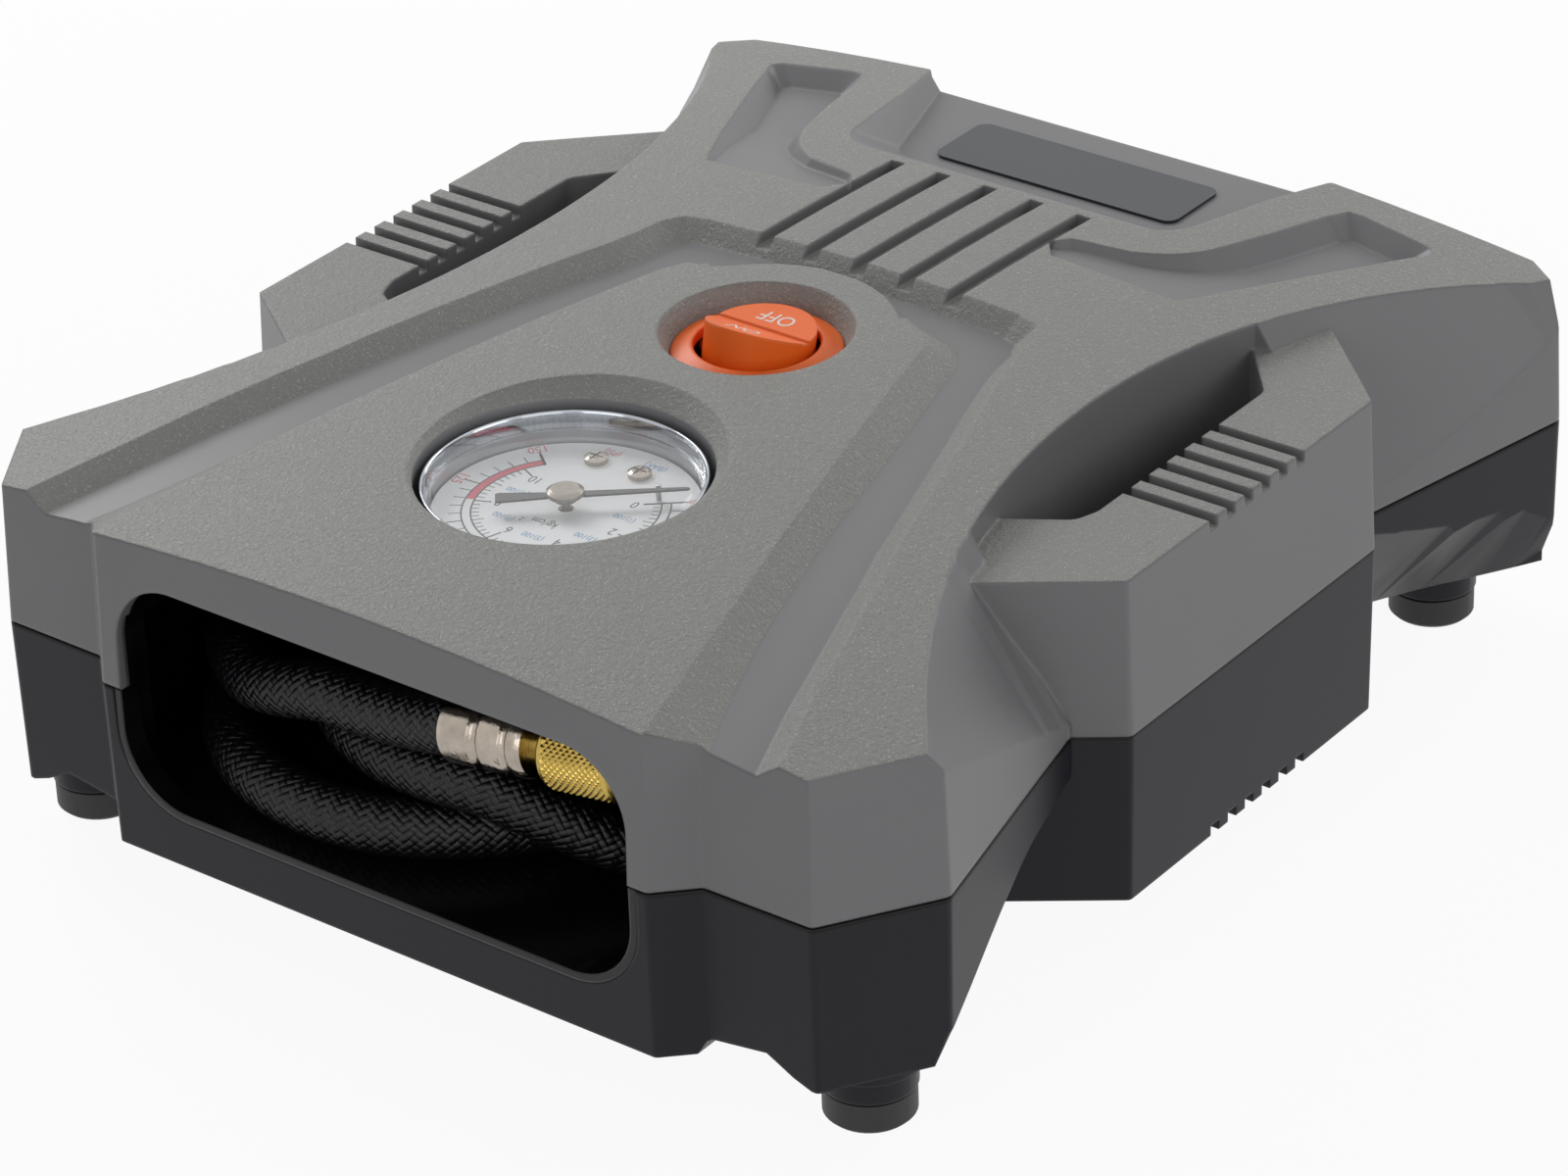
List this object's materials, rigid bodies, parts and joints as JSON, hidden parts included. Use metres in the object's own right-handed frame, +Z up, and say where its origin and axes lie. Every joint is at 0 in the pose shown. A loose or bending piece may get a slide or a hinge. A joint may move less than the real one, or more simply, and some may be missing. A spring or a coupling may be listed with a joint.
{
  "type": "tyre inflator",
  "caption": "Portable 12 V car tyre inflator: low two-tone case with side grips, round pressure gauge, rocker switch and a coiled air hose stowed in a front bay.",
  "frame": {"origin": "centre of the case footprint, on the plane the four feet stand on", "axes": "+X to the right hand grip, +Y from the hose bay to the rear wall, +Z up"},
  "size_m": [0.2078, 0.2354, 0.089],
  "materials": {
    "cover_grey": "moulded ABS, textured top panel and smooth valley",
    "shell_black": "moulded ABS, satin",
    "tray_black": "moulded ABS, glossy",
    "bezel_chrome": "polished plated steel ring",
    "gauge_steel": "black lacquered steel",
    "lens_clear": "clear moulded window",
    "dial_white": "white lacquered sheet",
    "needle_black": "black lacquered",
    "screw_steel": "zinc plated",
    "brass": "machined brass",
    "ferrule_nickel": "nickel plated, crimped",
    "switch_orange": "moulded nylon, satin gloss",
    "switch_black": "moulded nylon",
    "rubber_black": "moulded rubber",
    "hose_braid": "black cotton braid over rubber",
    "motor_steel": "plated steel",
    "cast_aluminium": "die cast",
    "gear_nylon": "moulded nylon",
    "cup_ptfe": "filled PTFE",
    "tube_clear": "soft tube"
  },
  "bodies": {
    "case": {"top_cover": "cover_grey", "bottom_cover": "shell_black", "hose_tray": "tray_black", "name_plate": "tray_black", "gauge_bezel": "bezel_chrome", "gauge_case": "gauge_steel", "gauge_lens": "lens_clear", "gauge_dial": "dial_white", "dial_screws": "screw_steel", "stop_pin": "screw_steel", "gauge_movement": "brass", "switch_ring": "switch_orange", "switch_body": "switch_black", "switch_terminals": "brass", "foot_collars": "shell_black", "foot_pads": "rubber_black", "foot_screws": "screw_steel", "case_screws": "screw_steel", "hose": "hose_braid", "hose_ferrule": "ferrule_nickel", "chuck_stem": "brass", "chuck_washer": "rubber_black", "hose_fitting": "brass", "fitting_nut": "brass", "motor_can": "motor_steel", "motor_cap": "switch_black", "motor_terminals": "brass", "pump_frame": "cast_aluminium", "frame_screws": "screw_steel", "gear_axle": "motor_steel", "pump_cylinder": "cast_aluminium", "cylinder_head": "cast_aluminium", "head_screws": "screw_steel", "gauge_line": "tube_clear", "delivery_pipe": "brass", "cord_grommet": "rubber_black"},
    "rocker": {"switch_rocker": "switch_orange"},
    "needle": {"gauge_needle": "needle_black", "needle_hub": "brass"},
    "gear": {"drive_gear": "gear_nylon", "crank_pin": "motor_steel"},
    "rotor": {"motor_shaft": "motor_steel", "motor_pinion": "brass", "motor_fan": "switch_black"},
    "piston": {"piston_rod": "cast_aluminium", "piston_cup": "cup_ptfe"},
    "chuck": {"chuck_nut": "brass"}
  },
  "joints": [
    {"name": "rocker_tilt", "type": "hinge", "parent": "case", "child": "rocker", "pos_m": [0, -0.00403, 0.0787], "axis": [1, 0, 0], "range_deg": [0, 24]},
    {"name": "needle_sweep", "type": "hinge", "parent": "case", "child": "needle", "pos_m": [0, -0.0603, 0.0767], "axis": [0, 0, -1], "range_deg": [0, 262], "stiffness_Nm_per_rad": 0.0002},
    {"name": "gear_spin", "type": "hinge", "parent": "case", "child": "gear", "pos_m": [0.02, 0.05255, 0.0417], "axis": [1, 0, 0], "continuous": true},
    {"name": "rotor_spin", "type": "hinge", "parent": "case", "child": "rotor", "pos_m": [0, 0.0797, 0.0417], "axis": [1, 0, 0], "continuous": true},
    {"name": "piston_slide", "type": "slide", "parent": "case", "child": "piston", "axis": [0, 1, 0], "range_m": [0, 0.014]},
    {"name": "chuck_spin", "type": "hinge", "parent": "case", "child": "chuck", "pos_m": [0.04011, -0.1041, 0.05878], "axis": [0.9903, 0, 0.1392], "continuous": true}
  ],
  "couplings": [
    {"joint": "gear_spin", "follows": "rotor_spin", "ratio": -0.22727}
  ]
}
